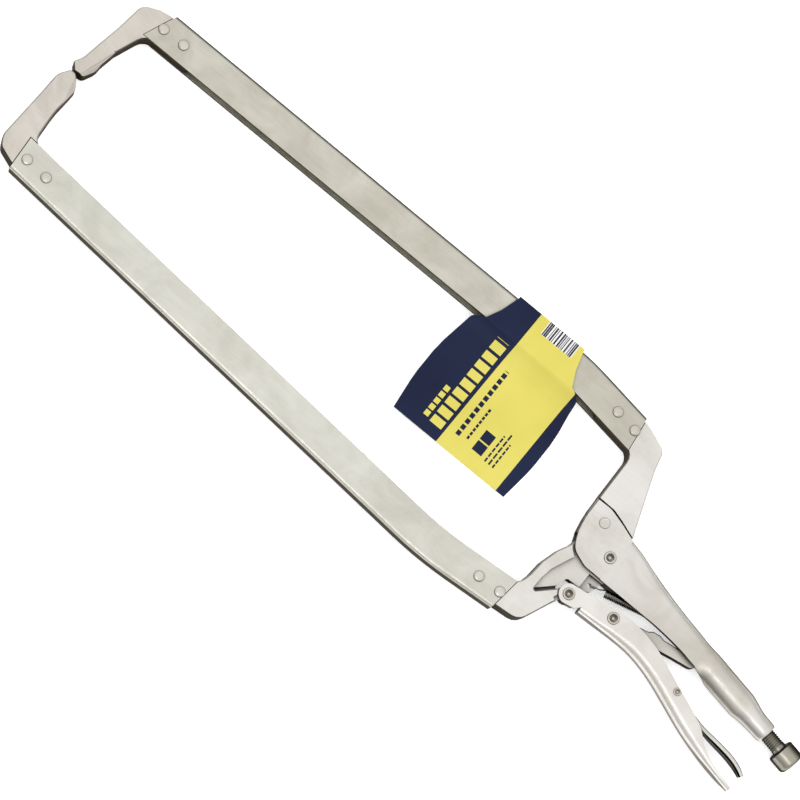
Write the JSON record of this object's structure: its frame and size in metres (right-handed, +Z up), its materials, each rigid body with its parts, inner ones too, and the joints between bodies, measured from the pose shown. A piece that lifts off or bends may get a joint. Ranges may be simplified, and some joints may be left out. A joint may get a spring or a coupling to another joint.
{
  "type": "locking c clamp",
  "caption": "Deep-reach locking C clamp with two channel arms, forged jaw tips, an adjusting screw, an over-centre toggle handle and a release lever, with its folded retail card.",
  "frame": {"origin": "centre of the bounding box at its base: the clamp lies flat on its side", "axes": "+X along the fixed arm from the jaws to the handles, +Y from the movable arm to the fixed arm, +Z up along the hinge pins"},
  "size_m": [0.608, 0.163, 0.0172],
  "materials": {
    "plated_sheet": "satin nickel plate on formed sheet",
    "plated_forging": "satin nickel plate on forged steel",
    "handle_steel": "polished nickel plate, lightly scuffed",
    "rivet_steel": "plated, headed cold",
    "screw_steel": "oiled turned steel",
    "spring_wire": "drawn spring wire",
    "printed_card": "coated card printed in navy and yellow"
  },
  "bodies": {
    "fixed_frame": {"fixed_handle": "handle_steel", "fixed_jaw_base": "plated_forging", "upper_arm_channel": "plated_sheet", "upper_jaw": "plated_forging", "upper_front_rivet_1": "rivet_steel", "upper_front_rivet_2": "rivet_steel", "upper_rear_rivet_1": "rivet_steel", "upper_rear_rivet_2": "rivet_steel", "nose_rivet": "rivet_steel", "jaw_pivot_rivet": "rivet_steel", "display_card": "printed_card"},
    "movable_jaw": {"movable_jaw_base": "plated_forging", "lower_arm_channel": "plated_sheet", "lower_jaw": "plated_forging", "lower_front_rivet_1": "rivet_steel", "lower_front_rivet_2": "rivet_steel", "lower_rear_rivet_1": "rivet_steel", "lower_rear_rivet_2": "rivet_steel", "jaw_spring": "spring_wire"},
    "lower_handle": {"lower_handle": "handle_steel", "handle_pivot_rivet": "rivet_steel", "link_pivot_rivet": "rivet_steel", "lever_pivot_rivet": "rivet_steel"},
    "toggle_link": {"toggle_link": "plated_forging"},
    "release_lever": {"release_lever": "handle_steel"},
    "adjusting_screw": {"adjusting_screw": "screw_steel"},
    "adjusting_knob": {"adjusting_knob": "screw_steel"}
  },
  "joints": [
    {"name": "jaw_hinge", "type": "hinge", "parent": "fixed_frame", "child": "movable_jaw", "pos_m": [0.13795, -0.00826, 0.0086], "axis": [0, 0, 1], "range_deg": [0, 30], "deforming": ["jaw_spring"]},
    {"name": "handle_hinge", "type": "hinge", "parent": "movable_jaw", "child": "lower_handle", "pos_m": [0.13185, -0.04156, 0.0086], "axis": [0, 0, 1], "range_deg": [-84.5, 0]},
    {"name": "link_hinge", "type": "hinge", "parent": "lower_handle", "child": "toggle_link", "pos_m": [0.16205, -0.03576, 0.0086], "axis": [0, 0, 1], "range_deg": [0, 86]},
    {"name": "lever_hinge", "type": "hinge", "parent": "lower_handle", "child": "release_lever", "pos_m": [0.21965, -0.04566, 0.0086], "axis": [0, 0, 1], "range_deg": [-4.5, 0]},
    {"name": "screw_slide", "type": "slide", "parent": "fixed_frame", "child": "adjusting_screw", "axis": [0.9829, -0.184, 0], "range_m": [0, 0.015]},
    {"name": "knob_turn", "type": "hinge", "parent": "adjusting_screw", "child": "adjusting_knob", "pos_m": [0.24195, -0.02256, 0.0086], "axis": [0.9829, -0.184, 0], "range_deg": [0, 3601]}
  ],
  "couplings": [
    {"joint": "handle_hinge", "follows": "jaw_hinge", "ratio": -2.8},
    {"joint": "link_hinge", "follows": "jaw_hinge", "ratio": 2.85},
    {"joint": "knob_turn", "follows": "screw_slide", "rad_per_m": 4188.8}
  ]
}
